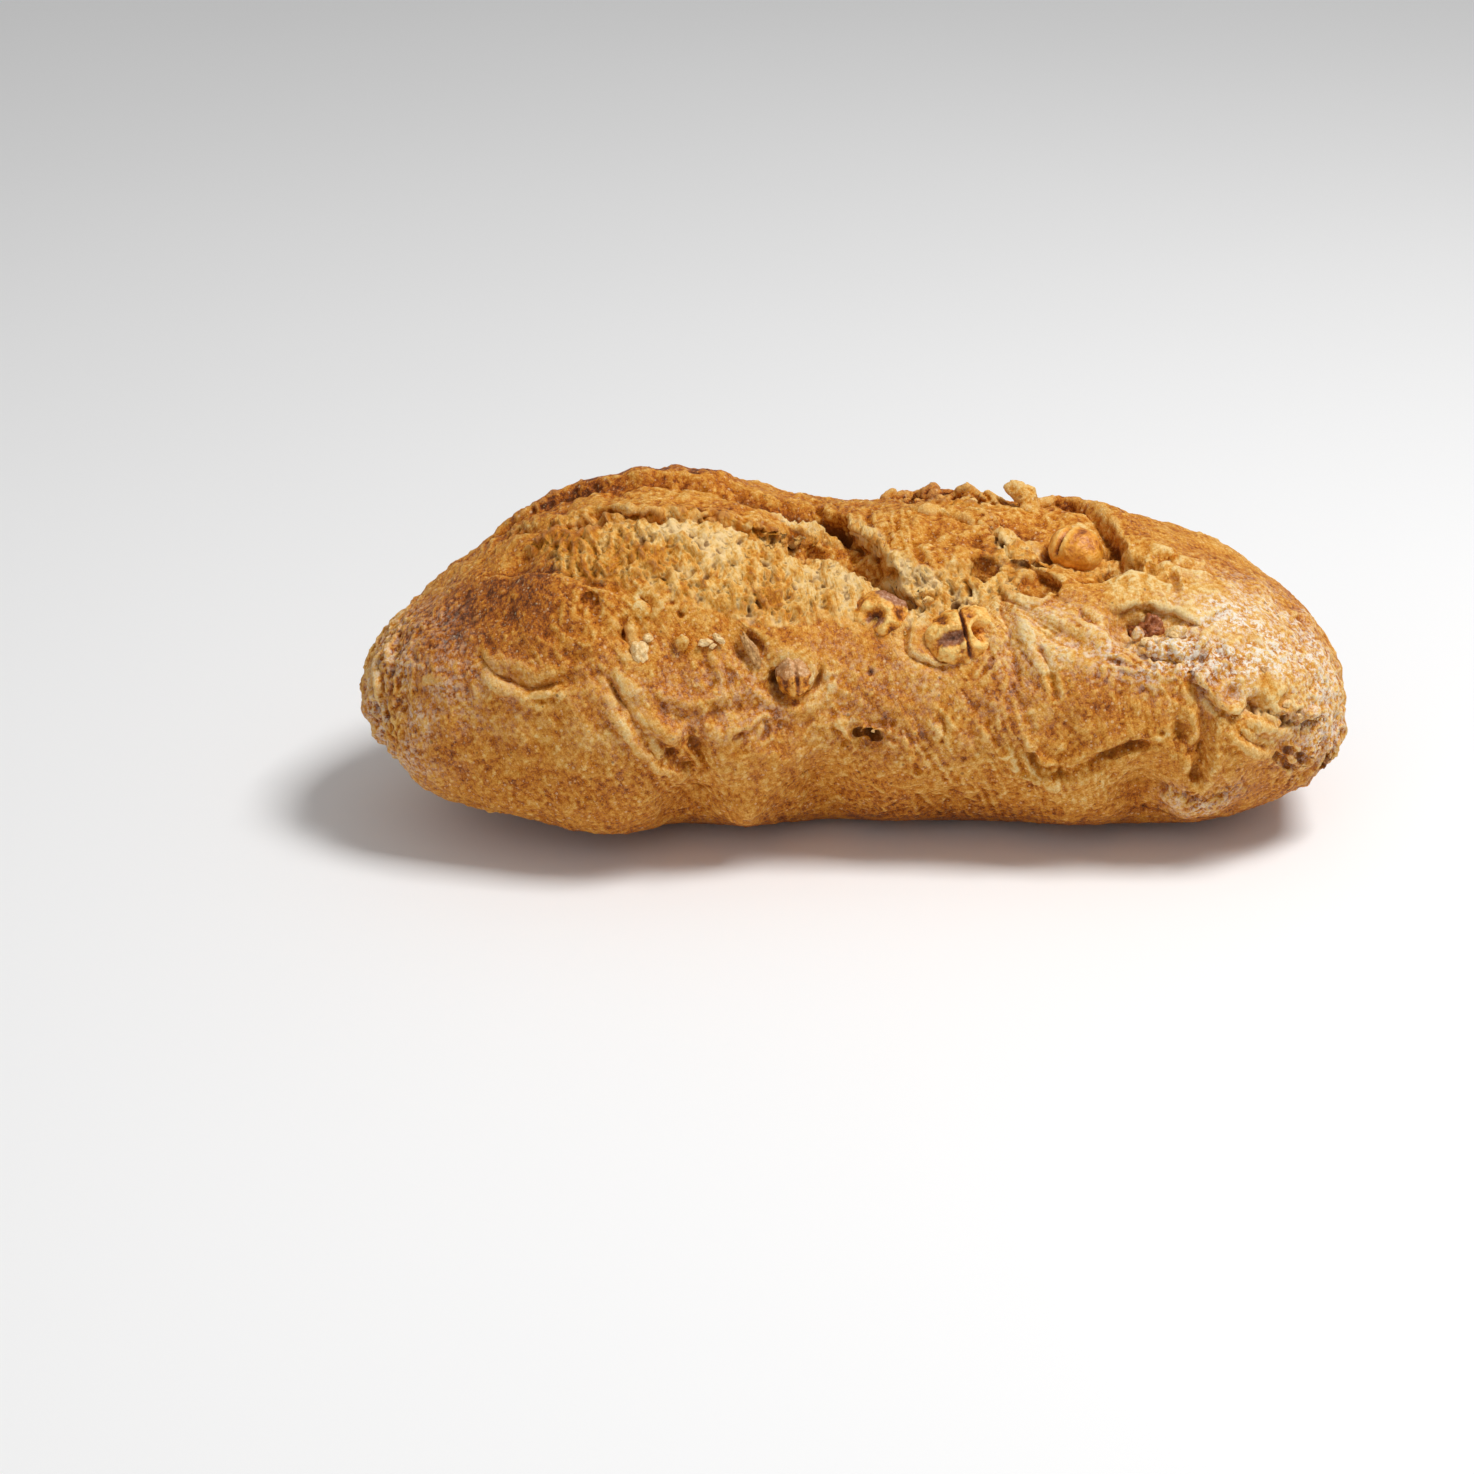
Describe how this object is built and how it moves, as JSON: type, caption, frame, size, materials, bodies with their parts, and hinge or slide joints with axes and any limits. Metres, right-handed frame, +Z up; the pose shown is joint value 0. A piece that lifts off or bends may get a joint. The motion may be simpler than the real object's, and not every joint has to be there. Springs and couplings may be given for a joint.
{
  "type": "walnut bread loaf",
  "caption": "Long rustic loaf of walnut bread with a torn gash along its crest and walnut pieces set in the crust.",
  "frame": {"origin": "bottom centre of the bounding box, on the plane that the loaf rests on", "axes": "+X along the loaf to the right seen from the front, +Y to the back, +Z up"},
  "size_m": [0.2386, 0.1072, 0.0833],
  "materials": {
    "crust": "matt baked crust with torn crumb, bran specks and flour dust",
    "walnut": "satin walnut flesh with thin brown skin"
  },
  "bodies": {
    "root": {"loaf": "crust", "walnut_half": "walnut", "walnut_broken": "walnut", "walnut_gash": "walnut", "walnut_front": "walnut", "walnut_pit": "walnut"}
  },
  "joints": []
}
